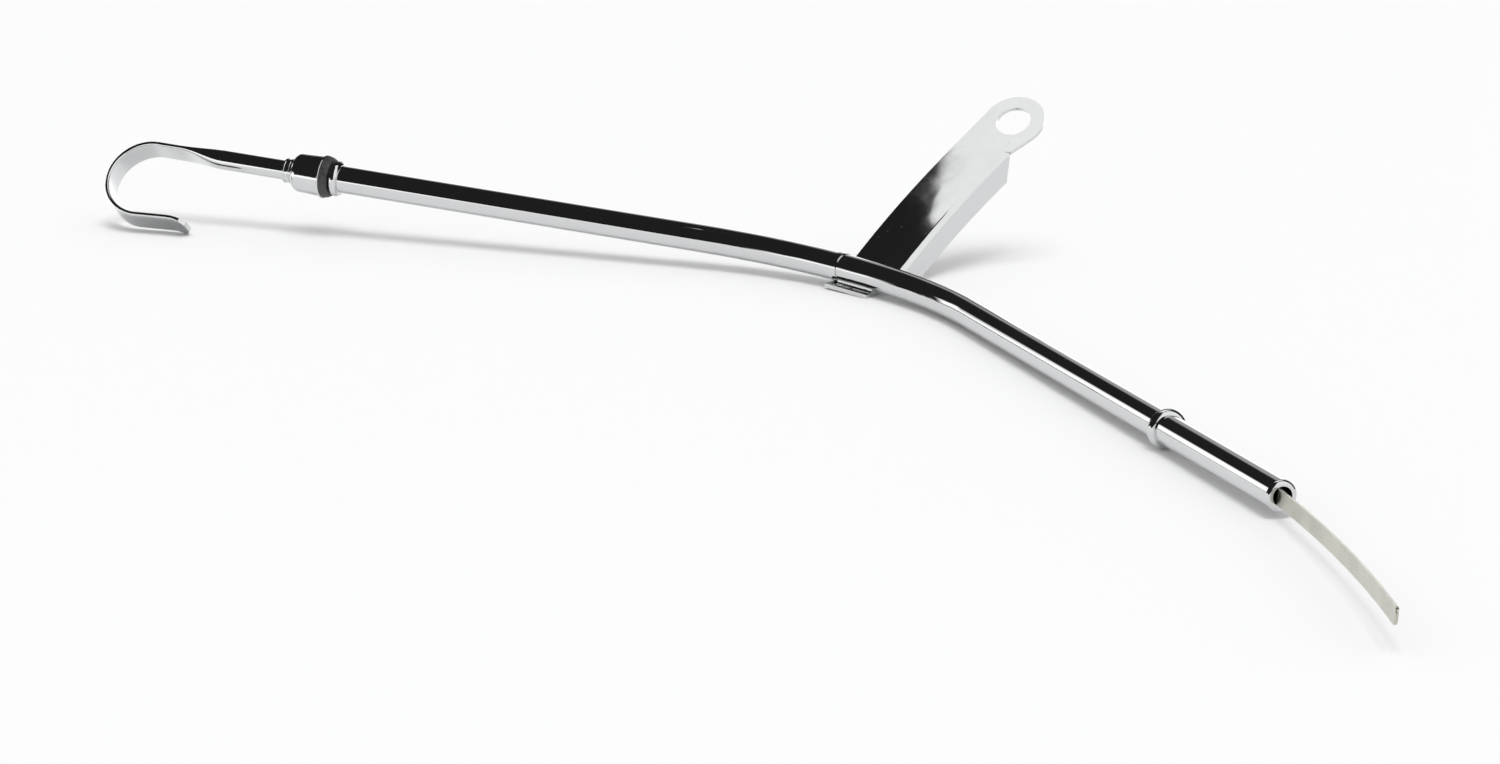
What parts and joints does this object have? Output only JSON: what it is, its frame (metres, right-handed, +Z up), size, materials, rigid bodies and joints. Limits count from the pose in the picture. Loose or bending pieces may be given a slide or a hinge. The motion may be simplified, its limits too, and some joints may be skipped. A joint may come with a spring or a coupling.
{
  "type": "engine oil dipstick",
  "caption": "Bent chromed guide tube with a brazed-on bolt bracket and a stop bead, holding a flat oil dipstick whose tubular pull hook carries a sealing cap.",
  "frame": {"origin": "on the axis of the guide tube at the block side of the stop bead, where the spigot that goes into the engine begins", "axes": "Z is up from the floor the part lies on. The spigot and the mouth point to -Y and a little +X; the bracket, the cap and the pull hook lie to +Y and -X."},
  "size_m": [0.3586, 0.4699, 0.0504],
  "materials": {
    "chrome": "bright chrome plate",
    "seal_rubber": "matt black rubber",
    "blade_steel": "plain satin spring steel"
  },
  "bodies": {
    "root": {"guide_tube": "chrome", "bracket": "chrome", "bracket_braze": "chrome", "dipstick_handle": "chrome", "dipstick_cap": "chrome", "cap_seal": "seal_rubber", "dipstick_blade": "blade_steel", "blade_rivet": "blade_steel"}
  },
  "joints": []
}
